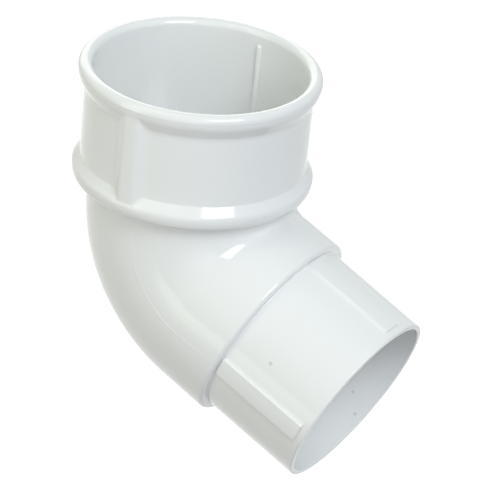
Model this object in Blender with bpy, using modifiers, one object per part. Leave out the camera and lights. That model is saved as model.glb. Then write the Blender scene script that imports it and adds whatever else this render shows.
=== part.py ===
"""Downpipe offset bend in white plastic: a socket, a 112.5 degree elbow and a ribbed spigot, moulded in one.

The mouth of the socket is centred on the origin and faces up, +Z. The bend lies in the XZ plane, and the
spigot leaves it towards +X and down. Units are metres.
"""

import math

import bmesh
import bpy
from mathutils import Matrix, Vector

# Mesh fineness
ROUND_SEGMENTS = 72
ELBOW_STATIONS = 12
ROUNDING_STEPS = 6
CORNER_STEPS = 3
COLLAR_STEPS = 4
BLOCK_EDGE_STEPS = 2
GUIDE_SEGMENTS = 16
GUIDE_DOME_STEPS = 3
SCREW_MERGE = 0.00001

# The round downpipe: the socket takes its end, and the spigot enters a socket of its size
PIPE_RADIUS = 0.0340

# Socket: an upright sleeve with a rounded rim and a bulging shoulder
SOCKET_CLEARANCE = 0.0012
SOCKET_WALL = 0.0026
BORE_BASE_RADIUS = PIPE_RADIUS + SOCKET_CLEARANCE
SOCKET_WALL_RADIUS = BORE_BASE_RADIUS + SOCKET_WALL
SOCKET_DRAFT = 0.0001
RIM_HALF_WIDTH = 0.00235
RIM_HEIGHT = 0.0048
RIM_LIP = 0.00015
RIM_CORNER = 0.0006
SHOULDER_UNDERSIDE = -0.0408
SHOULDER_HEIGHT = 0.0079
SHOULDER_TOP = SHOULDER_UNDERSIDE + SHOULDER_HEIGHT
SHOULDER_PROUD = 0.0023
SHOULDER_RADIUS = SOCKET_WALL_RADIUS + SHOULDER_PROUD
SHOULDER_CORNER = 0.0005
LEDGE_THICKNESS = 0.0024
PIPE_STOP = SHOULDER_UNDERSIDE + LEDGE_THICKNESS

# Elbow: its wall flares a little along the bend, as a moulded bend does
WALL = 0.0023
BEND_ANGLE = math.radians(67.5)
TUBE_OVER_PIPE = 0.0005
TUBE_FLARE = 0.0006
TUBE_RADIUS_TOP = PIPE_RADIUS + TUBE_OVER_PIPE
TUBE_RADIUS_END = TUBE_RADIUS_TOP + TUBE_FLARE
TUBE_RADIUS_MEAN = (TUBE_RADIUS_TOP + TUBE_RADIUS_END) / 2
OUTER_BEND_RADIUS = 0.0666
INNER_BEND_RADIUS = 0.0020
STRAIGHT_ABOVE = 0.0041
STRAIGHT_TAIL = 0.0155

# The point where the two axes meet, and how far the bend's inner corner starts and ends from it
CORNER_REACH = (TUBE_RADIUS_MEAN + INNER_BEND_RADIUS) * math.tan(BEND_ANGLE / 2)
AXES_MEET_AT = SHOULDER_UNDERSIDE - STRAIGHT_ABOVE - CORNER_REACH

# Collar: the rounded end of the elbow, where the spigot starts
COLLAR_FROM_CORNER = CORNER_REACH + STRAIGHT_TAIL
COLLAR_ROUNDING = 0.0015
COLLAR_STEP = 0.0028

# Spigot: the thinner end, which goes inside the next socket
SPIGOT_TAPER = 0.00015
SPIGOT_RADIUS_COLLAR = TUBE_RADIUS_END - COLLAR_STEP
SPIGOT_RADIUS_END = SPIGOT_RADIUS_COLLAR - SPIGOT_TAPER
SPIGOT_LENGTH = 0.0372
SPIGOT_WALL = 0.0018
SPIGOT_EDGE = 0.0004

# Four grip strips along the spigot
STRIP_COUNT = 4
STRIP_WIDTH = 0.0062
STRIP_PROUD = 0.0009
STRIP_END_GAP = 0.0024
STRIP_EDGE = 0.00025

# Two sloping-sided pads down the outside of the socket, and two round guide ribs down the inside
PAD_FACE_WIDTH = 0.0052
PAD_FOOT_WIDTH = 0.0116
PAD_PROUD = 0.0021
PAD_RADIUS = SOCKET_WALL_RADIUS + PAD_PROUD
PAD_EDGE = 0.0006
GUIDE_RADIUS = 0.0010
GUIDE_PROUD = 0.0008
GUIDE_TOP = -0.0048
GUIDE_DOME = 0.0008

# How far joined pieces run into each other, and cutters run past a face
OVERLAP = 0.0012
CUT_PAST = 0.004

PLASTIC_COLOUR = (0.83, 0.84, 0.83, 1.0)
PLASTIC_ROUGHNESS = 0.28


def clear_scene():
    """Removes every object of the startup scene."""
    for obj in list(bpy.data.objects):
        bpy.data.objects.remove(obj, do_unlink=True)


def new_collection(name):
    """A collection of the scene, where the objects made next are linked."""
    collection = bpy.data.collections.new(name)
    bpy.context.scene.collection.children.link(collection)
    return collection


def white_plastic():
    """The glossy white plastic that the whole fitting is moulded from."""
    material = bpy.data.materials.new("white_plastic")
    material.use_nodes = True
    surface = material.node_tree.nodes["Principled BSDF"]
    surface.inputs["Base Color"].default_value = PLASTIC_COLOUR
    surface.inputs["Roughness"].default_value = PLASTIC_ROUGHNESS
    surface.inputs["Metallic"].default_value = 0.0
    return material


def new_object(name, mesh, collection, helper=True):
    """An object in the collection. A helper only cuts or joins, so it isn't part of the render."""
    obj = bpy.data.objects.new(name, mesh)
    collection.objects.link(obj)
    obj.hide_render = helper
    if helper:
        obj.display_type = "WIRE"
    return obj


def arc(centre_radius, centre_z, width, height, start, end, steps):
    """Points on an ellipse in the profile plane, from one angle to another in degrees (0 points outward)."""
    points = []
    for step in range(steps + 1):
        angle = math.radians(start + (end - start) * step / steps)
        points.append((centre_radius + width * math.cos(angle), centre_z + height * math.sin(angle)))
    return points


def turned(name, profile, collection, helper=True):
    """A profile turned about the local Z axis. It runs down its outer side, and a closed one makes a ring."""
    mesh = bpy.data.meshes.new(name)
    points = [(radius, 0.0, z) for radius, z in profile]
    edges = [(index, index + 1) for index in range(len(points) - 1)]
    if profile[0][0] > 0.0:
        edges.append((len(points) - 1, 0))
    mesh.from_pydata(points, edges, [])
    obj = new_object(name, mesh, collection, helper)
    screw = obj.modifiers.new("turn", "SCREW")
    screw.axis = "Z"
    screw.angle = math.tau
    screw.steps = ROUND_SEGMENTS
    screw.render_steps = ROUND_SEGMENTS
    screw.use_merge_vertices = True
    screw.merge_threshold = SCREW_MERGE
    screw.use_smooth_shade = True
    return obj


def flow(angle):
    """The direction in which water runs, at this angle round the bend."""
    return Vector((math.sin(angle), 0.0, -math.cos(angle)))


def outward(angle):
    """The direction from the inner corner of the bend to its back, at this angle round the bend."""
    return Vector((-math.cos(angle), 0.0, -math.sin(angle)))


def flow_frame(angle, centre):
    """A frame whose -Z runs along the flow at this angle, with its origin at the centre."""
    return Matrix.Translation(centre) @ Matrix.Rotation(-angle, 4, "Y")


def bend_centre(radius):
    """The centre of an arc of this radius that is tangent to both axes when they are moved inward by it."""
    return Vector((radius, 0.0, AXES_MEET_AT + radius * math.tan(BEND_ANGLE / 2)))


def reach_to_back(angle, pivot, inset):
    """The distance from the inner corner's pivot to the back of the elbow, in the plane at this angle."""
    back_centre = bend_centre(OUTER_BEND_RADIUS - TUBE_RADIUS_MEAN)
    from_end = min(angle, BEND_ANGLE - angle)
    straight = (pivot.x + TUBE_RADIUS_MEAN - inset) / math.cos(from_end)
    if pivot.z - straight * math.sin(from_end) > back_centre.z:
        return straight
    offset = pivot - back_centre
    along = offset.dot(outward(from_end))
    radius = OUTER_BEND_RADIUS - inset
    return -along + math.sqrt(along * along - offset.length_squared + radius * radius)


def ring(centre, angle, in_plane, sideways):
    """One section of the elbow: an ellipse in the plane across the flow."""
    points = []
    for index in range(ROUND_SEGMENTS):
        turn = math.tau * index / ROUND_SEGMENTS
        across = outward(angle) * in_plane * math.cos(turn)
        points.append(centre + across + Vector((0.0, sideways * math.sin(turn), 0.0)))
    return points


def elbow_sections(inset, start_z, end_distance, end_rounding):
    """Sections from the shoulder, round the bend and along the tail, with the wall moved in by the inset.

    The inner corner of the bend is tighter than the tube's own radius, so the sections fan out from a pivot
    just outside that corner. The end distance is measured from the point where the two axes meet.
    """
    pivot = bend_centre(TUBE_RADIUS_MEAN + INNER_BEND_RADIUS)
    top = TUBE_RADIUS_TOP - inset
    end = TUBE_RADIUS_END - inset
    sections = [ring(Vector((0.0, 0.0, start_z)), 0.0, top, top)]
    for station in range(ELBOW_STATIONS + 1):
        share = station / ELBOW_STATIONS
        angle = BEND_ANGLE * share
        radius = top + (end - top) * share
        near = INNER_BEND_RADIUS + inset
        far = reach_to_back(angle, pivot, inset)
        swelling = radius / (TUBE_RADIUS_MEAN - inset)
        centre = pivot + outward(angle) * (near + far) / 2
        sections.append(ring(centre, angle, swelling * (far - near) / 2, radius))
    corner = Vector((0.0, 0.0, AXES_MEET_AT))
    for radius, back in arc(end - end_rounding, 0.0, end_rounding, end_rounding, 0, 90, COLLAR_STEPS):
        distance = end_distance - end_rounding + back
        sections.append(ring(corner + flow(BEND_ANGLE) * distance, BEND_ANGLE, radius, radius))
    return sections


def lofted(name, sections, collection):
    """A solid through the sections, which all have the same number of points."""
    shape = bmesh.new()
    rings = [[shape.verts.new(point) for point in section] for section in sections]
    for upper, lower in zip(rings, rings[1:]):
        for index in range(ROUND_SEGMENTS):
            after = (index + 1) % ROUND_SEGMENTS
            face = shape.faces.new((upper[index], lower[index], lower[after], upper[after]))
            face.smooth = True
    shape.faces.new(rings[0])
    shape.faces.new(rings[-1])
    bmesh.ops.recalc_face_normals(shape, faces=shape.faces)
    mesh = bpy.data.meshes.new(name)
    shape.to_mesh(mesh)
    shape.free()
    return new_object(name, mesh, collection)


def combine(body, other, operation):
    """Joins the other shape to the body, or cuts it from it."""
    boolean = body.modifiers.new(operation.lower() + " " + other.name, "BOOLEAN")
    boolean.operation = operation
    boolean.solver = "EXACT"
    boolean.object = other


def socket_sleeve(collection):
    """The socket, turned as one sleeve with its rim, shoulder and the ledge that stops the pipe."""
    wall_bottom = SOCKET_WALL_RADIUS - SOCKET_DRAFT
    lip = SOCKET_WALL_RADIUS + RIM_HALF_WIDTH + RIM_LIP
    crown = (SOCKET_WALL_RADIUS, -RIM_HALF_WIDTH, RIM_HALF_WIDTH, RIM_HALF_WIDTH)
    profile = arc(*crown, 90, 0, ROUNDING_STEPS)
    profile += arc(lip - RIM_CORNER, RIM_CORNER - RIM_HEIGHT, RIM_CORNER, RIM_CORNER, 0, -90, CORNER_STEPS)
    profile += [(SOCKET_WALL_RADIUS, -RIM_HEIGHT)]
    corner_z = SHOULDER_UNDERSIDE + SHOULDER_CORNER
    bulge = SHOULDER_RADIUS - wall_bottom
    rise = SHOULDER_TOP - corner_z
    curve = (bulge * bulge + rise * rise) / (2 * bulge)
    steepest = math.degrees(math.atan2(rise, curve - bulge))
    profile += arc(SHOULDER_RADIUS - curve, corner_z, curve, curve, steepest, 0, ROUNDING_STEPS)
    corner_radius = SHOULDER_RADIUS - SHOULDER_CORNER
    profile += arc(corner_radius, corner_z, SHOULDER_CORNER, SHOULDER_CORNER, 0, -90, CORNER_STEPS)[1:]
    inside_the_bore = TUBE_RADIUS_TOP - WALL - OVERLAP
    profile += [(inside_the_bore, SHOULDER_UNDERSIDE), (inside_the_bore, PIPE_STOP)]
    profile += [(BORE_BASE_RADIUS, PIPE_STOP)]
    profile += arc(*crown, 180, 90, ROUNDING_STEPS)[:-1]
    return turned("offset_bend", profile, collection, helper=False)


def elbow_outside(collection):
    """The bend with its straight tail, which ends in the collar's rounded edge."""
    start = SHOULDER_UNDERSIDE + OVERLAP
    sections = elbow_sections(0.0, start, COLLAR_FROM_CORNER, COLLAR_ROUNDING)
    return lofted("elbow_outside", sections, collection)


def elbow_bore(collection):
    """The waterway through the bend, one wall inside it and ending one wall short of the collar's face."""
    start = PIPE_STOP + OVERLAP
    sections = elbow_sections(WALL, start, COLLAR_FROM_CORNER - WALL, COLLAR_ROUNDING)
    return lofted("elbow_bore", sections, collection)


def spigot_frame():
    """The frame of the spigot: its origin is on the collar's face and its -Z runs out through the end."""
    collar = Vector((0.0, 0.0, AXES_MEET_AT)) + flow(BEND_ANGLE) * COLLAR_FROM_CORNER
    return flow_frame(BEND_ANGLE, collar)


def spigot_outside(collection):
    """The spigot, from inside the collar to its end, which has a small rounded edge."""
    profile = [(0.0, OVERLAP), (SPIGOT_RADIUS_COLLAR, OVERLAP)]
    edge_radius = SPIGOT_RADIUS_END - SPIGOT_EDGE
    profile += arc(edge_radius, SPIGOT_EDGE - SPIGOT_LENGTH, SPIGOT_EDGE, SPIGOT_EDGE, 0, -90, CORNER_STEPS)
    profile += [(0.0, -SPIGOT_LENGTH)]
    spigot = turned("spigot_outside", profile, collection)
    spigot.matrix_world = spigot_frame()
    return spigot


def spigot_bore(collection):
    """The waterway through the spigot, from inside the bore of the elbow to past the spigot's end."""
    top = WALL + CUT_PAST
    end = -SPIGOT_LENGTH - CUT_PAST
    profile = [(0.0, top), (SPIGOT_RADIUS_COLLAR - SPIGOT_WALL, top)]
    profile += [(SPIGOT_RADIUS_END - SPIGOT_WALL, end), (0.0, end)]
    bore = turned("spigot_bore", profile, collection)
    bore.matrix_world = spigot_frame()
    return bore


def edges_past(shape, axis, level):
    """The edges that lie past this level on one axis (0 to 2)."""
    return [edge for edge in shape.edges if min(vertex.co[axis] for vertex in edge.verts) > level]


def block(name, frame, widths, radii, span, rounding, collection):
    """A straight block standing on a radius, with a rounded edge round its face.

    The pairs are the widths and radii of its foot and of its face, and the span of its length along the
    frame's Z. The radius runs along the frame's Y.
    """
    shape = bmesh.new()
    bmesh.ops.create_cube(shape, size=1.0)
    for vertex in shape.verts:
        on_face = vertex.co.y > 0
        vertex.co.x *= widths[on_face]
        vertex.co.y = radii[on_face]
        vertex.co.z = span[vertex.co.z > 0]
    bmesh.ops.bevel(
        shape,
        geom=edges_past(shape, 1, sum(radii) / 2),
        offset=rounding,
        segments=BLOCK_EDGE_STEPS,
        affect="EDGES",
        profile=0.5,
    )
    bmesh.ops.recalc_face_normals(shape, faces=shape.faces)
    mesh = bpy.data.meshes.new(name)
    shape.to_mesh(mesh)
    shape.free()
    obj = new_object(name, mesh, collection)
    obj.matrix_world = frame
    return obj


def strips(collection):
    """The grip strips: low flat bars, spaced evenly round the spigot from the collar to near its end."""
    made = []
    widths = (STRIP_WIDTH, STRIP_WIDTH)
    radii = (SPIGOT_RADIUS_END - SPIGOT_WALL / 2, SPIGOT_RADIUS_COLLAR + STRIP_PROUD)
    span = (STRIP_END_GAP - SPIGOT_LENGTH, OVERLAP)
    for index in range(STRIP_COUNT):
        turn = Matrix.Rotation(math.tau * index / STRIP_COUNT, 4, "Z")
        frame = spigot_frame() @ turn
        name = "strip_" + str(index + 1)
        made.append(block(name, frame, widths, radii, span, STRIP_EDGE, collection))
    return made


def pads(collection):
    """The sloping-sided pads, one on each side of the socket, from inside the rim to inside the shoulder."""
    made = []
    depth = SOCKET_WALL / 2
    root_width = PAD_FOOT_WIDTH + (PAD_FOOT_WIDTH - PAD_FACE_WIDTH) / PAD_PROUD * depth
    widths = (root_width, PAD_FACE_WIDTH)
    radii = (SOCKET_WALL_RADIUS - depth, PAD_RADIUS)
    span = (SHOULDER_UNDERSIDE + OVERLAP, -RIM_HALF_WIDTH - OVERLAP / 2)
    for name, turn in (("pad_front", math.pi), ("pad_back", 0.0)):
        frame = Matrix.Rotation(turn, 4, "Z")
        made.append(block(name, frame, widths, radii, span, PAD_EDGE, collection))
    return made


def guide_ribs(collection):
    """The round guide ribs inside the socket, one on each side, domed on top and standing on the ledge."""
    made = []
    centre = SOCKET_WALL_RADIUS - RIM_HALF_WIDTH + GUIDE_RADIUS - GUIDE_PROUD
    length = GUIDE_TOP - PIPE_STOP + OVERLAP / 2
    for name, side in (("guide_front", -1), ("guide_back", 1)):
        shape = bmesh.new()
        middle = Matrix.Translation((0.0, side * centre, GUIDE_TOP - length / 2))
        bmesh.ops.create_cone(
            shape,
            cap_ends=True,
            segments=GUIDE_SEGMENTS,
            radius1=GUIDE_RADIUS,
            radius2=GUIDE_RADIUS,
            depth=length,
            matrix=middle,
        )
        bmesh.ops.bevel(
            shape,
            geom=edges_past(shape, 2, GUIDE_TOP - length / 2),
            offset=GUIDE_DOME,
            segments=GUIDE_DOME_STEPS,
            affect="EDGES",
            profile=0.5,
        )
        mesh = bpy.data.meshes.new(name)
        shape.to_mesh(mesh)
        shape.free()
        made.append(new_object(name, mesh, collection))
    return made


def offset_bend():
    """The whole fitting: the solid pieces joined to the socket, and the waterway cut through them."""
    parts = new_collection("downpipe_offset_bend")
    helpers = new_collection("helper_shapes")
    body = socket_sleeve(parts)
    body.data.materials.append(white_plastic())
    tubes = [elbow_outside(helpers), spigot_outside(helpers)]
    for shape in guide_ribs(helpers) + pads(helpers) + tubes + strips(helpers):
        combine(body, shape, "UNION")
    for cutter in (elbow_bore(helpers), spigot_bore(helpers)):
        combine(body, cutter, "DIFFERENCE")


clear_scene()
offset_bend()
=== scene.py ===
"""The look of the downpipe offset bend: its shape at full fineness, its plastic, studio and camera."""

import math

import bpy
import numpy as np
from mathutils import Matrix, Vector


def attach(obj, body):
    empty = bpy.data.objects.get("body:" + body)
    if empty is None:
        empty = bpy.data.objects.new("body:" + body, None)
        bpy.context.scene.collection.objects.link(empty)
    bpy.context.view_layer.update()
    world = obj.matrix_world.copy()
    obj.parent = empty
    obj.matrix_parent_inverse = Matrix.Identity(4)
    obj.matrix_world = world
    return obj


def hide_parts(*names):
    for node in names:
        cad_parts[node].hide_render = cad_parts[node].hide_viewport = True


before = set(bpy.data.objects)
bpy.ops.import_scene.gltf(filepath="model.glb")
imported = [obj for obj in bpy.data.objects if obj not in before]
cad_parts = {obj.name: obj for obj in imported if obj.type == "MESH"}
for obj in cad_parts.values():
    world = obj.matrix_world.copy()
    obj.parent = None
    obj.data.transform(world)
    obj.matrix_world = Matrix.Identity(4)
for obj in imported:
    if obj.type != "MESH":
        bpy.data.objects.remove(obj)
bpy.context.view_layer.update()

# Sizes of the part, in metres, as in its CAD source
PIPE_RADIUS = 0.0340
SOCKET_CLEARANCE = 0.0012
SOCKET_WALL = 0.0026
BORE_BASE_RADIUS = PIPE_RADIUS + SOCKET_CLEARANCE
SOCKET_WALL_RADIUS = BORE_BASE_RADIUS + SOCKET_WALL
SOCKET_DRAFT = 0.0001
RIM_HALF_WIDTH = 0.00235
SHOULDER_UNDERSIDE = -0.0408
SHOULDER_HEIGHT = 0.0079
SHOULDER_TOP = SHOULDER_UNDERSIDE + SHOULDER_HEIGHT
SHOULDER_PROUD = 0.0023
SHOULDER_RADIUS = SOCKET_WALL_RADIUS + SHOULDER_PROUD
LEDGE_THICKNESS = 0.0024
PIPE_STOP = SHOULDER_UNDERSIDE + LEDGE_THICKNESS
WALL = 0.0023
BEND_ANGLE = math.radians(67.5)
TUBE_OVER_PIPE = 0.0005
TUBE_FLARE = 0.0006
TUBE_RADIUS_TOP = PIPE_RADIUS + TUBE_OVER_PIPE
TUBE_RADIUS_END = TUBE_RADIUS_TOP + TUBE_FLARE
TUBE_RADIUS_MEAN = (TUBE_RADIUS_TOP + TUBE_RADIUS_END) / 2
OUTER_BEND_RADIUS = 0.0666
INNER_BEND_RADIUS = 0.0020
CORNER_REACH = (TUBE_RADIUS_MEAN + INNER_BEND_RADIUS) * math.tan(BEND_ANGLE / 2)
STRAIGHT_ABOVE = 0.0041
STRAIGHT_TAIL = 0.0155
AXES_MEET_AT = SHOULDER_UNDERSIDE - STRAIGHT_ABOVE - CORNER_REACH
COLLAR_FROM_CORNER = CORNER_REACH + STRAIGHT_TAIL
COLLAR_ROUNDING = 0.0015
COLLAR_STEP = 0.0028
SPIGOT_TAPER = 0.00015
SPIGOT_RADIUS_COLLAR = TUBE_RADIUS_END - COLLAR_STEP
SPIGOT_RADIUS_END = SPIGOT_RADIUS_COLLAR - SPIGOT_TAPER
SPIGOT_LENGTH = 0.0372
SPIGOT_WALL = 0.0018
SPIGOT_EDGE = 0.0004
STRIP_COUNT = 4
STRIP_WIDTH = 0.0062
STRIP_PROUD = 0.0009
STRIP_END_GAP = 0.0024
PAD_FACE_WIDTH = 0.0052
PAD_FOOT_WIDTH = 0.0116
PAD_PROUD = 0.0021
PAD_RADIUS = SOCKET_WALL_RADIUS + PAD_PROUD
GUIDE_RADIUS = 0.0010
GUIDE_PROUD = 0.0008
GUIDE_TOP = -0.0048

# Fine forms that only this script makes
ROOT_FILLET = 0.0004
RIM_UNDER_WIDTH = 0.0021
RIM_UNDER_HEIGHT = 0.0042
RIM_UNDER_SLOPE = math.radians(28.0)
RIM_LINE_PROUD = 0.00008
SHOULDER_SLOPE = math.radians(34.0)
SHOULDER_ROOT = 0.0006
SHOULDER_CROWN = 0.0028
SHOULDER_TUCK = 0.0016
STRIP_SIDE = 0.00024
STRIP_FOOT_FILLET = 0.00005
SEAM_PROUD = 0.00008
SEAM_WIDTH = 0.0003

# The shoulder's slope: how far out it runs, and the levels of the crown's top and of its widest ring
SHOULDER_BULGE = SHOULDER_RADIUS - SOCKET_WALL_RADIUS + SOCKET_DRAFT
SHOULDER_RUN = SHOULDER_BULGE - SHOULDER_CROWN * (1 - math.cos(SHOULDER_SLOPE))
SHOULDER_CROWN_TOP = SHOULDER_TOP - SHOULDER_RUN / math.tan(SHOULDER_SLOPE)
SHOULDER_WIDEST = SHOULDER_CROWN_TOP - SHOULDER_CROWN * math.sin(SHOULDER_SLOPE)

# The two flanks, where the pads, the guide ribs and the parting lines are
SIDE_TURNS = (math.pi / 2, -math.pi / 2)

# Fineness of the mesh: points round each ring, then steps or levels along the profile
RING_POINTS = 200
LEAST_TURN = 0.0004
STRIP_EDGE_PARTS = (-1.2, -0.8, -0.4, 0.0, 0.3)
GUIDE_PARTS = 5
GUIDE_REACH = 7
ELBOW_STEPS = 50
ARC_STEPS = 14
FILLET_STEPS = 6
SLOPE_STEPS = 8
CROWN_STEPS = 8
SHOULDER_ROOT_STEPS = 4
SOCKET_WALL_STEPS = 16
UNDERSIDE_STEPS = 4
COLLAR_STEPS = 8
RING_FACE_STEPS = 3
SPIGOT_LEVELS = 14
STRIP_END_LEVELS = 9
SPIGOT_END_LEVELS = 4
SPIGOT_BORE_STEPS = 14
SOCKET_BORE_LEVELS = 16
SOCKET_BORE_START = 0.001
GUIDE_DOME_STEP = 15
SHARP_ANGLE = math.radians(50)

# The plastic
PLASTIC_COLOUR = (0.940, 0.950, 0.948, 1.0)
PLASTIC_SHADE = (0.925, 0.935, 0.933, 1.0)
PLASTIC_IOR = 1.53
ROUGHNESS_RANGE = (0.05, 0.11)
SPECK_COLOUR = (0.45, 0.48, 0.52, 1.0)
SPECK_STRENGTH = 0.45
SPECK_CORE = 0.5

# Specks that the photograph shows: angle round the spigot in degrees (-90 is the near side), distance
# from the collar, radius at which it lies, and its own radius
SPECKS = (
    (-112.6, 0.0140, SPIGOT_RADIUS_COLLAR, 0.00085),
    (53.9, 0.0285, SPIGOT_RADIUS_END - SPIGOT_WALL, 0.00060),
    (44.0, 0.0341, SPIGOT_RADIUS_END - SPIGOT_WALL, 0.00070),
)

# The camera of the photograph
CAMERA_PLACE = Vector((0.56839, -0.91831, 0.49822))
CAMERA_LOOK = Vector((-0.44995, 0.76127, -0.46691))
CAMERA_ROLL = math.radians(5.671)
CAMERA_LENS = 262.05
CAMERA_SENSOR = 36.0
CAMERA_SHIFT = (0.0009, 0.0391)

# The studio
OBJECT_MIDDLE = Vector((0.02, 0.0, -0.06))
WHITE = (1.0, 1.0, 1.0, 1.0)
WORLD_FILL = 0.33
WORLD_TINT = (0.96, 1.0, 0.99, 1.0)
FLOOR_Z = -0.36
FLOOR_SIZE = 8.0
FLOOR_COLOUR = (0.86, 0.86, 0.86, 1.0)
FLOOR_GLOW = 0.55
FLOOR_FILL = 0.23
LAMP_DISTANCE = 1.2

# The lamps: name, azimuth, elevation, width and height in degrees as seen from the part, radiance and
# colour. A cool key is high on the right, warmer ones are on the left from high to low, two are in
# front, and one is behind.
LAMPS = (
    ("key_softbox", -28.0, 43.0, 26.0, 24.0, 7.1, (0.92, 0.99, 1.03)),
    ("left_softbox", -118.0, 29.0, 20.0, 32.0, 1.2, (1.0, 1.02, 0.60)),
    ("left_high_softbox", -126.0, 64.0, 28.0, 26.0, 1.0, (0.98, 1.01, 0.93)),
    ("left_low_softbox", -120.0, 4.0, 24.0, 20.0, 2.1, (1.03, 1.02, 0.88)),
    ("left_under_softbox", -115.0, -16.0, 34.0, 26.0, 1.4, (0.97, 1.02, 0.87)),
    ("front_softbox", -55.0, 24.0, 26.0, 16.0, 0.85, (1.0, 0.99, 1.05)),
    ("front_low_softbox", -60.0, 4.0, 34.0, 26.0, 0.5, (1.02, 0.96, 1.20)),
    ("back_softbox", 138.0, 24.0, 44.0, 36.0, 1.5, (1.0, 1.01, 0.97)),
)


def smooth_max(first, second, blend):
    """The larger of two heights, with a fillet of about the blend's size where they cross."""
    share = np.clip(0.5 + 0.5 * (first - second) / blend, 0.0, 1.0)
    return second + (first - second) * share + blend * share * (1.0 - share)


def smooth_step(value):
    """0 below zero, 1 above one, and an S curve between."""
    value = np.clip(value, 0.0, 1.0)
    return value * value * (3.0 - 2.0 * value)


def turn_from(turns, middle):
    """The signed angle from the middle to each turn, the short way round."""
    return (turns - middle + math.pi) % math.tau - math.pi


def ring_turns():
    """Angles round the tube: an even set, with closer ones at the edges of the strips, ribs and seams."""
    turns = [math.tau * index / RING_POINTS for index in range(RING_POINTS)]
    strip_edge = math.asin(STRIP_WIDTH / 2 / SPIGOT_RADIUS_COLLAR)
    strip_side = STRIP_SIDE / SPIGOT_RADIUS_COLLAR
    guide = GUIDE_RADIUS / SOCKET_WALL_RADIUS
    for index in range(STRIP_COUNT):
        middle = math.tau * index / STRIP_COUNT
        for side in (-1, 1):
            turns += [middle + side * (strip_edge + part * strip_side) for part in STRIP_EDGE_PARTS]
    for middle in SIDE_TURNS:
        parts = [part for part in range(-GUIDE_REACH, GUIDE_REACH + 1) if part]
        turns += [middle + guide * part / GUIDE_PARTS for part in parts]
        turns += [middle + part * SEAM_WIDTH / TUBE_RADIUS_TOP / 2 for part in (-1.0, 1.0)]
    turns = sorted(turn % math.tau for turn in turns)
    return np.array([turn for turn, before in zip(turns, [-1.0] + turns) if turn - before > LEAST_TURN])


TURNS = ring_turns()


def flow(angle):
    """The direction in which water runs, at this angle round the bend."""
    return Vector((math.sin(angle), 0.0, -math.cos(angle)))


def outward(angle):
    """The direction from the inner corner of the bend to its back, at this angle round the bend."""
    return Vector((-math.cos(angle), 0.0, -math.sin(angle)))


def ring(centre, angle, in_plane, sideways):
    """One ring of points across the flow. The two radii are numbers, or one value for each turn."""
    across = np.outer(np.cos(TURNS) * in_plane, outward(angle))
    return np.array(centre) + across + np.outer(np.sin(TURNS) * sideways, (0.0, 1.0, 0.0))


def arc(centre_radius, centre_z, width, height, start, end, steps):
    """Points on an ellipse in the profile plane, between two angles in degrees (0 points outward)."""
    angles = np.radians(np.linspace(start, end, steps + 1))
    return [(centre_radius + width * math.cos(a), centre_z + height * math.sin(a)) for a in angles]


def line(start, end, steps):
    """Points from start to end, without the start."""
    return [
        (start[0] + (end[0] - start[0]) * step / steps, start[1] + (end[1] - start[1]) * step / steps)
        for step in range(1, steps + 1)
    ]


def pad_radius(radius):
    """The radius round the socket at one level: its own, or that of the two sloping-sided pads."""
    radii = np.full(len(TURNS), radius)
    slope = (PAD_RADIUS - SOCKET_WALL_RADIUS) / (PAD_FOOT_WIDTH - PAD_FACE_WIDTH) * 2
    for middle in SIDE_TURNS:
        across = np.abs(turn_from(TURNS, middle)) * PAD_RADIUS
        face = PAD_RADIUS - slope * np.maximum(across - PAD_FACE_WIDTH / 2, 0.0)
        face = np.where(across > PAD_FOOT_WIDTH, 0.0, face)
        radii = smooth_max(radii, face, ROOT_FILLET)
    return radii


def rim():
    """Points over the outer half of the rim, past the hair line round it, and in along its underside."""
    widest = SOCKET_WALL_RADIUS + RIM_HALF_WIDTH
    profile = arc(SOCKET_WALL_RADIUS, -RIM_HALF_WIDTH, RIM_HALF_WIDTH, RIM_HALF_WIDTH, 90, 4, ARC_STEPS)
    profile += [(widest + RIM_LINE_PROUD, -RIM_HALF_WIDTH - RIM_LINE_PROUD)]
    turned = math.atan(math.tan(RIM_UNDER_SLOPE) * RIM_UNDER_HEIGHT / RIM_UNDER_WIDTH)
    under = (widest - RIM_UNDER_WIDTH, -RIM_HALF_WIDTH)
    profile += arc(*under, RIM_UNDER_WIDTH, RIM_UNDER_HEIGHT, -4, -math.degrees(turned), ARC_STEPS)
    radius, z = profile[-1]
    foot = (SOCKET_WALL_RADIUS, z - (radius - SOCKET_WALL_RADIUS) / math.tan(RIM_UNDER_SLOPE))
    profile += line(profile[-1], foot, SLOPE_STEPS)
    return profile


def shoulder(start, wall):
    """Points down the socket's wall and round the shoulder: a slope, a crown and a tucked-in foot."""
    tilt = math.degrees(SHOULDER_SLOPE)
    root_centre = SHOULDER_TOP + SHOULDER_ROOT * math.tan(SHOULDER_SLOPE / 2)
    crown = (SHOULDER_RADIUS - SHOULDER_CROWN, SHOULDER_WIDEST)
    tuck = (SHOULDER_RADIUS - SHOULDER_TUCK, SHOULDER_WIDEST)
    tuck_height = SHOULDER_WIDEST - SHOULDER_UNDERSIDE
    root = (wall + SHOULDER_ROOT, root_centre, SHOULDER_ROOT, SHOULDER_ROOT)
    points = line(start, (wall, root_centre), SOCKET_WALL_STEPS)
    points += arc(*root, 180, 180 + tilt, SHOULDER_ROOT_STEPS)[1:]
    points += line(points[-1], (wall + SHOULDER_RUN, SHOULDER_CROWN_TOP), SLOPE_STEPS)
    points += arc(*crown, SHOULDER_CROWN, SHOULDER_CROWN, tilt, 0, CROWN_STEPS)[1:]
    points += arc(*tuck, SHOULDER_TUCK, tuck_height, 0, -90, ARC_STEPS)[1:]
    return points


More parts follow.
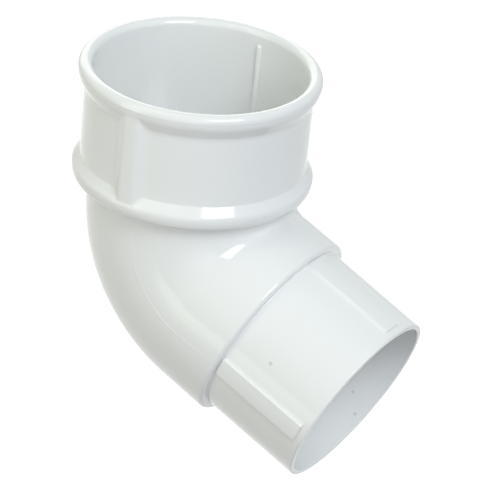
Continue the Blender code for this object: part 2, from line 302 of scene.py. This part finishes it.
def socket_outside():
    """Rings from the top of the rim, down the socket with its pads, and under the shoulder."""
    profile = rim()
    profile += shoulder(profile[-1], SOCKET_WALL_RADIUS - SOCKET_DRAFT)
    foot = (TUBE_RADIUS_TOP + ROOT_FILLET, SHOULDER_UNDERSIDE - ROOT_FILLET)
    rings = []
    for radius, z in profile:
        radii = pad_radius(radius) if SHOULDER_WIDEST < z < -RIM_HALF_WIDTH else radius
        rings.append(ring((0.0, 0.0, z), 0.0, radii, radii))
    under = line(profile[-1], (foot[0], SHOULDER_UNDERSIDE), UNDERSIDE_STEPS)
    under += arc(foot[0], foot[1], ROOT_FILLET, ROOT_FILLET, 90, 180, FILLET_STEPS)[1:]
    rings += [ring((0.0, 0.0, z), 0.0, radius, radius) for radius, z in under]
    return rings


def bend_centre(radius):
    """The centre of an arc of this radius that is tangent to both axes, when they move inward by it."""
    return Vector((radius, 0.0, AXES_MEET_AT + radius * math.tan(BEND_ANGLE / 2)))


def reach_to_back(angle, pivot, inset):
    """The distance from the inner corner's pivot to the back of the elbow, in the plane at this angle."""
    back_centre = bend_centre(OUTER_BEND_RADIUS - TUBE_RADIUS_MEAN)
    from_end = min(angle, BEND_ANGLE - angle)
    straight = (pivot.x + TUBE_RADIUS_MEAN - inset) / math.cos(from_end)
    if pivot.z - straight * math.sin(from_end) > back_centre.z:
        return straight
    offset = pivot - back_centre
    along = offset.dot(outward(from_end))
    radius = OUTER_BEND_RADIUS - inset
    return -along + math.sqrt(along * along - offset.length_squared + radius * radius)


def seam_height():
    """The parting line of the mould: a hair-thin ridge along both flanks."""
    height = np.zeros(len(TURNS))
    for middle in SIDE_TURNS:
        across = np.abs(turn_from(TURNS, middle)) * TUBE_RADIUS_TOP
        height += SEAM_PROUD * smooth_step(1.0 - across / SEAM_WIDTH)
    return height


def elbow(inset, seam):
    """Rings round the bend, in planes that fan out from its tight inner corner."""
    pivot = bend_centre(TUBE_RADIUS_MEAN + INNER_BEND_RADIUS)
    top = TUBE_RADIUS_TOP - inset
    end = TUBE_RADIUS_END - inset
    rings = []
    for step in range(ELBOW_STEPS + 1):
        share = step / ELBOW_STEPS
        angle = BEND_ANGLE * share
        radius = top + (end - top) * share
        near = INNER_BEND_RADIUS + inset
        far = reach_to_back(angle, pivot, inset)
        swelling = radius / (TUBE_RADIUS_MEAN - inset)
        centre = pivot + outward(angle) * (near + far) / 2
        rings.append(ring(centre, angle, swelling * (far - near) / 2 + seam, radius + seam))
    return rings


def along_spigot(profile, shape):
    """Rings on the spigot's axis, for points of radius and distance out from the collar's face."""
    collar = Vector((0.0, 0.0, AXES_MEET_AT)) + flow(BEND_ANGLE) * COLLAR_FROM_CORNER
    rings = []
    for radius, distance in profile:
        radii = shape(radius, distance)
        rings.append(ring(collar + flow(BEND_ANGLE) * distance, BEND_ANGLE, radii, radii))
    return rings


def plain(radius, distance):
    """The radius of a plain round stretch."""
    return radius


def stripped(radius, distance):
    """The radius round the spigot at one distance, with the strips standing on it."""
    height = np.zeros(len(TURNS))
    to_end = (SPIGOT_LENGTH - STRIP_END_GAP - distance) / STRIP_SIDE
    for index in range(STRIP_COUNT):
        across = np.abs(turn_from(TURNS, math.tau * index / STRIP_COUNT)) * SPIGOT_RADIUS_COLLAR
        side = smooth_step((STRIP_WIDTH / 2 - across) / STRIP_SIDE + 1.0)
        height = np.maximum(height, side * smooth_step(to_end))
    raised = smooth_max(height * STRIP_PROUD, 0.0, STRIP_FOOT_FILLET) + radius
    return np.where(height > 0.0, raised, radius)


def collar_and_spigot():
    """Rings over the collar's edge, down its face, along the spigot and round its end to the bore."""
    edge = (TUBE_RADIUS_END - COLLAR_ROUNDING, -COLLAR_ROUNDING, COLLAR_ROUNDING, COLLAR_ROUNDING)
    rounding = arc(*edge, 0, 90, COLLAR_STEPS)
    foot = SPIGOT_RADIUS_COLLAR + ROOT_FILLET
    face = line(rounding[-1], (foot, 0.0), RING_FACE_STEPS)
    face += arc(foot, ROOT_FILLET, ROOT_FILLET, ROOT_FILLET, -90, -180, FILLET_STEPS)[1:]
    strip_end = SPIGOT_LENGTH - STRIP_END_GAP
    draft = (SPIGOT_RADIUS_COLLAR - SPIGOT_RADIUS_END) / SPIGOT_LENGTH
    side_end = SPIGOT_LENGTH - SPIGOT_EDGE
    stops = np.linspace(ROOT_FILLET * 1.5, strip_end - 2 * STRIP_SIDE, SPIGOT_LEVELS).tolist()
    stops += np.linspace(strip_end - STRIP_SIDE, strip_end + STRIP_SIDE, STRIP_END_LEVELS).tolist()
    stops += np.linspace(strip_end + 2 * STRIP_SIDE, side_end, SPIGOT_END_LEVELS).tolist()
    sides = [(SPIGOT_RADIUS_COLLAR - draft * stop, stop) for stop in stops]
    edge_radius = SPIGOT_RADIUS_END - SPIGOT_EDGE
    end = arc(edge_radius, side_end, SPIGOT_EDGE, SPIGOT_EDGE, 0, 90, FILLET_STEPS)[1:]
    bore = SPIGOT_RADIUS_END - SPIGOT_WALL
    lip = SPIGOT_EDGE / 2
    end += line(end[-1], (bore + lip, SPIGOT_LENGTH), RING_FACE_STEPS)
    end += arc(bore + lip, SPIGOT_LENGTH - lip, lip, lip, 90, 180, FILLET_STEPS)[1:]
    collar = along_spigot(rounding + face, plain)
    return collar + along_spigot(sides, stripped) + along_spigot(end, plain)


def waterway():
    """Rings up the spigot's bore from its mouth, round the bend and onto the ledge inside the socket."""
    bore_end = SPIGOT_RADIUS_END - SPIGOT_WALL
    bore_top = SPIGOT_RADIUS_COLLAR - SPIGOT_WALL
    inside = line((bore_end, SPIGOT_LENGTH - SPIGOT_EDGE), (bore_top, -WALL), SPIGOT_BORE_STEPS)
    corner = (TUBE_RADIUS_END - WALL - COLLAR_ROUNDING, -WALL - COLLAR_ROUNDING)
    step = arc(*corner, COLLAR_ROUNDING, COLLAR_ROUNDING, 90, 0, COLLAR_STEPS)
    rings = along_spigot(inside + step, plain)
    rings += elbow(WALL, 0.0)[::-1]
    ledge_inner = TUBE_RADIUS_TOP - WALL
    lip = ROOT_FILLET
    up = [(ledge_inner, PIPE_STOP - 2 * lip)]
    up += arc(ledge_inner + lip, PIPE_STOP - lip, lip, lip, 180, 90, FILLET_STEPS)
    up += line(up[-1], (BORE_BASE_RADIUS - lip, PIPE_STOP), RING_FACE_STEPS)
    up += arc(BORE_BASE_RADIUS - lip, PIPE_STOP + lip, lip, lip, -90, 0, FILLET_STEPS)[1:]
    rings += [ring((0.0, 0.0, z), 0.0, radius, radius) for radius, z in up]
    return rings


def guided(radius, z):
    """The radius round the socket's bore at one level, with the two round guide ribs standing into it."""
    radii = np.full(len(TURNS), radius)
    for middle in SIDE_TURNS:
        across = turn_from(TURNS, middle) * radius
        below_top = max(0.0, min(GUIDE_TOP - z, GUIDE_RADIUS))
        dome = math.sqrt(max(0.0, GUIDE_RADIUS ** 2 - (GUIDE_RADIUS - below_top) ** 2))
        reach = np.sqrt(np.maximum(dome ** 2 - across ** 2, 0.0)) - (GUIDE_RADIUS - GUIDE_PROUD)
        radii -= np.maximum(reach, 0.0)
    return radii


def socket_bore():
    """Rings up the socket's bore, with the guide ribs, and over the inner half of the rim."""
    mouth = SOCKET_WALL_RADIUS - RIM_HALF_WIDTH
    start = (BORE_BASE_RADIUS, PIPE_STOP + ROOT_FILLET)
    dome_foot = GUIDE_TOP - GUIDE_RADIUS
    taper = (mouth - start[0]) / (-RIM_HALF_WIDTH - start[1])
    levels = np.linspace(start[1] + SOCKET_BORE_START, dome_foot, SOCKET_BORE_LEVELS).tolist()
    up_the_dome = np.radians(np.arange(GUIDE_DOME_STEP, 91, GUIDE_DOME_STEP))
    levels += (dome_foot + GUIDE_RADIUS * np.sin(up_the_dome)).tolist()
    rings = []
    for z in levels:
        radii = guided(start[0] + taper * (z - start[1]), z)
        rings.append(ring((0.0, 0.0, z), 0.0, radii, radii))
    crown = (SOCKET_WALL_RADIUS, -RIM_HALF_WIDTH, RIM_HALF_WIDTH, RIM_HALF_WIDTH)
    over = arc(*crown, 180, 90, ARC_STEPS)[:-1]
    rings += [ring((0.0, 0.0, z), 0.0, radius, radius) for radius, z in over]
    return rings


def moulding():
    """The whole fitting as one closed skin: down the outside, round the end and up the inside."""
    seam = seam_height()
    rings = socket_outside() + elbow(0.0, seam) + collar_and_spigot() + waterway() + socket_bore()
    count = len(TURNS)
    points = np.vstack(rings)
    faces = []
    for upper in range(len(rings)):
        lower = (upper + 1) % len(rings)
        for index in range(count):
            after = (index + 1) % count
            above = (upper * count + after, upper * count + index)
            below = (lower * count + index, lower * count + after)
            faces.append(above + below)
    mesh = bpy.data.meshes.new("offset_bend_moulding")
    mesh.from_pydata(points.tolist(), [], faces)
    mesh.update()
    mesh.shade_smooth()
    mesh.set_sharp_from_angle(angle=SHARP_ANGLE)
    obj = bpy.data.objects.new("offset_bend_moulding", mesh)
    bpy.context.scene.collection.objects.link(obj)
    return obj


def add_node(tree, kind, **values):
    """A shader node with the given input values."""
    node = tree.nodes.new(kind)
    for name, value in values.items():
        node.inputs[name.replace("_", " ")].default_value = value
    return node


def speck_place(angle, distance, radius):
    """A point on the spigot, from its angle round the axis, distance from the collar and radius."""
    axis = Vector((0.0, 0.0, AXES_MEET_AT)) + flow(BEND_ANGLE) * (COLLAR_FROM_CORNER + distance)
    turned = math.radians(angle)
    across = outward(BEND_ANGLE) * math.cos(turned) + Vector((0.0, math.sin(turned), 0.0))
    return axis + across * radius


def speckled(tree, place, clean):
    """The clean colour with each speck mixed over it, soft at its edge."""
    colour = clean
    for angle, distance, radius, size in SPECKS:
        away = tree.nodes.new("ShaderNodeVectorMath")
        away.operation = "DISTANCE"
        away.inputs[1].default_value = speck_place(angle, distance, radius)
        tree.links.new(place, away.inputs[0])
        share = tree.nodes.new("ShaderNodeMapRange")
        share.inputs["From Min"].default_value = size
        share.inputs["From Max"].default_value = size * SPECK_CORE
        share.inputs["To Max"].default_value = SPECK_STRENGTH
        tree.links.new(away.outputs["Value"], share.inputs["Value"])
        mix = tree.nodes.new("ShaderNodeMix")
        mix.data_type = "RGBA"
        mix.inputs["B"].default_value = SPECK_COLOUR
        tree.links.new(share.outputs["Result"], mix.inputs["Factor"])
        tree.links.new(colour, mix.inputs["A"])
        colour = mix.outputs["Result"]
    return colour


def white_plastic():
    """Glossy white plastic with faint mottling, slightly uneven gloss and a moulded skin's long waves."""
    material = bpy.data.materials.new("white_upvc")
    material.use_nodes = True
    tree = material.node_tree
    surface = tree.nodes["Principled BSDF"]
    surface.inputs["IOR"].default_value = PLASTIC_IOR
    place = tree.nodes.new("ShaderNodeTexCoord")
    mottle = add_node(tree, "ShaderNodeTexNoise", Scale=38.0, Detail=4.0, Roughness=0.6)
    tree.links.new(place.outputs["Object"], mottle.inputs["Vector"])
    tint = tree.nodes.new("ShaderNodeMix")
    tint.data_type = "RGBA"
    tint.inputs["A"].default_value = PLASTIC_COLOUR
    tint.inputs["B"].default_value = PLASTIC_SHADE
    tree.links.new(mottle.outputs["Fac"], tint.inputs["Factor"])
    speckled_tint = speckled(tree, place.outputs["Object"], tint.outputs["Result"])
    tree.links.new(speckled_tint, surface.inputs["Base Color"])
    gloss = add_node(tree, "ShaderNodeTexNoise", Scale=120.0, Detail=3.0)
    tree.links.new(place.outputs["Object"], gloss.inputs["Vector"])
    rough = tree.nodes.new("ShaderNodeMapRange")
    rough.inputs["To Min"].default_value, rough.inputs["To Max"].default_value = ROUGHNESS_RANGE
    tree.links.new(gloss.outputs["Fac"], rough.inputs["Value"])
    tree.links.new(rough.outputs["Result"], surface.inputs["Roughness"])
    waves = add_node(tree, "ShaderNodeTexNoise", Scale=22.0, Detail=1.0)
    tree.links.new(place.outputs["Object"], waves.inputs["Vector"])
    bump = add_node(tree, "ShaderNodeBump", Strength=0.25, Distance=0.0004)
    tree.links.new(waves.outputs["Fac"], bump.inputs["Height"])
    tree.links.new(bump.outputs["Normal"], surface.inputs["Normal"])
    return material


def background_white(tree, lit, camera_white):
    """Light Path: what the camera and reflections see is white, and all else is the lit part."""
    path = tree.nodes.new("ShaderNodeLightPath")
    seen = tree.nodes.new("ShaderNodeMath")
    seen.operation = "MAXIMUM"
    tree.links.new(path.outputs["Is Camera Ray"], seen.inputs[0])
    tree.links.new(path.outputs["Is Glossy Ray"], seen.inputs[1])
    clear = tree.nodes.new("ShaderNodeMath")
    clear.operation = "MAXIMUM"
    tree.links.new(seen.outputs[0], clear.inputs[0])
    tree.links.new(path.outputs["Is Transmission Ray"], clear.inputs[1])
    mix = tree.nodes.new("ShaderNodeMixShader")
    tree.links.new(clear.outputs[0], mix.inputs[0])
    tree.links.new(lit, mix.inputs[1])
    tree.links.new(camera_white, mix.inputs[2])
    return mix.outputs[0]


def studio_world():
    """A white surround that gives the part only a part of its light."""
    world = bpy.data.worlds.new("studio")
    world.use_nodes = True
    tree = world.node_tree
    tree.nodes.clear()
    fill = add_node(tree, "ShaderNodeBackground", Color=WORLD_TINT, Strength=WORLD_FILL)
    seen = add_node(tree, "ShaderNodeBackground", Color=WHITE, Strength=1.0)
    output = tree.nodes.new("ShaderNodeOutputWorld")
    shown = background_white(tree, fill.outputs[0], seen.outputs[0])
    tree.links.new(shown, output.inputs["Surface"])
    bpy.context.scene.world = world


def floor():
    """A wide plain white floor under the part, which keeps its soft shadow."""
    bpy.ops.mesh.primitive_plane_add(size=FLOOR_SIZE, location=(0.0, 0.0, FLOOR_Z))
    obj = bpy.context.object
    obj.name = "floor"
    material = bpy.data.materials.new("floor_white")
    material.use_nodes = True
    tree = material.node_tree
    tree.nodes.clear()
    lit = add_node(tree, "ShaderNodeBsdfDiffuse", Color=FLOOR_COLOUR)
    glow = add_node(tree, "ShaderNodeEmission", Color=WHITE, Strength=FLOOR_GLOW)
    thrown_back = add_node(tree, "ShaderNodeEmission", Color=WHITE, Strength=FLOOR_FILL)
    both = tree.nodes.new("ShaderNodeAddShader")
    tree.links.new(lit.outputs[0], both.inputs[0])
    tree.links.new(glow.outputs[0], both.inputs[1])
    output = tree.nodes.new("ShaderNodeOutputMaterial")
    shown = background_white(tree, thrown_back.outputs[0], both.outputs[0])
    tree.links.new(shown, output.inputs["Surface"])
    obj.data.materials.append(material)


def direction(azimuth, elevation):
    """A unit vector towards this azimuth (from +X towards +Y) and elevation, in degrees."""
    a = math.radians(azimuth)
    e = math.radians(elevation)
    return Vector((math.cos(e) * math.cos(a), math.cos(e) * math.sin(a), math.sin(e)))


def facing(place):
    """The rotation that turns a lamp's or camera's -Z from this place to the part."""
    return (OBJECT_MIDDLE - place).to_track_quat("-Z", "Y").to_euler()


def softbox(name, azimuth, elevation, wide, tall, radiance, colour):
    """A rectangular studio lamp, given by where and how large, in degrees, it looks from the part."""
    lamp = bpy.data.lights.new(name, "AREA")
    lamp.shape = "RECTANGLE"
    lamp.size = 2 * LAMP_DISTANCE * math.tan(math.radians(wide / 2))
    lamp.size_y = 2 * LAMP_DISTANCE * math.tan(math.radians(tall / 2))
    lamp.energy = radiance * math.pi * lamp.size * lamp.size_y
    lamp.color = colour
    obj = bpy.data.objects.new(name, lamp)
    obj.location = OBJECT_MIDDLE + direction(azimuth, elevation) * LAMP_DISTANCE
    obj.rotation_euler = facing(obj.location)
    bpy.context.scene.collection.objects.link(obj)


def camera():
    """The photograph's camera: a long lens, looking down with a slight roll."""
    data = bpy.data.cameras.new("camera")
    data.lens = CAMERA_LENS
    data.sensor_width = CAMERA_SENSOR
    data.shift_x, data.shift_y = CAMERA_SHIFT
    obj = bpy.data.objects.new("camera", data)
    right = CAMERA_LOOK.cross(Vector((0.0, 0.0, 1.0))).normalized()
    up = right.cross(CAMERA_LOOK).normalized()
    rolled_right = right * math.cos(CAMERA_ROLL) + up * math.sin(CAMERA_ROLL)
    rolled_up = up * math.cos(CAMERA_ROLL) - right * math.sin(CAMERA_ROLL)
    turned = Matrix((rolled_right, rolled_up, -CAMERA_LOOK.normalized())).transposed()
    obj.matrix_world = Matrix.Translation(CAMERA_PLACE) @ turned.to_4x4()
    bpy.context.scene.collection.objects.link(obj)
    bpy.context.scene.camera = obj


part = moulding()
part.data.materials.append(white_plastic())
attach(part, "root")
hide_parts("offset_bend")
floor()
studio_world()
for lamp in LAMPS:
    softbox(*lamp)
camera()
bpy.context.scene.view_settings.view_transform = "Standard"
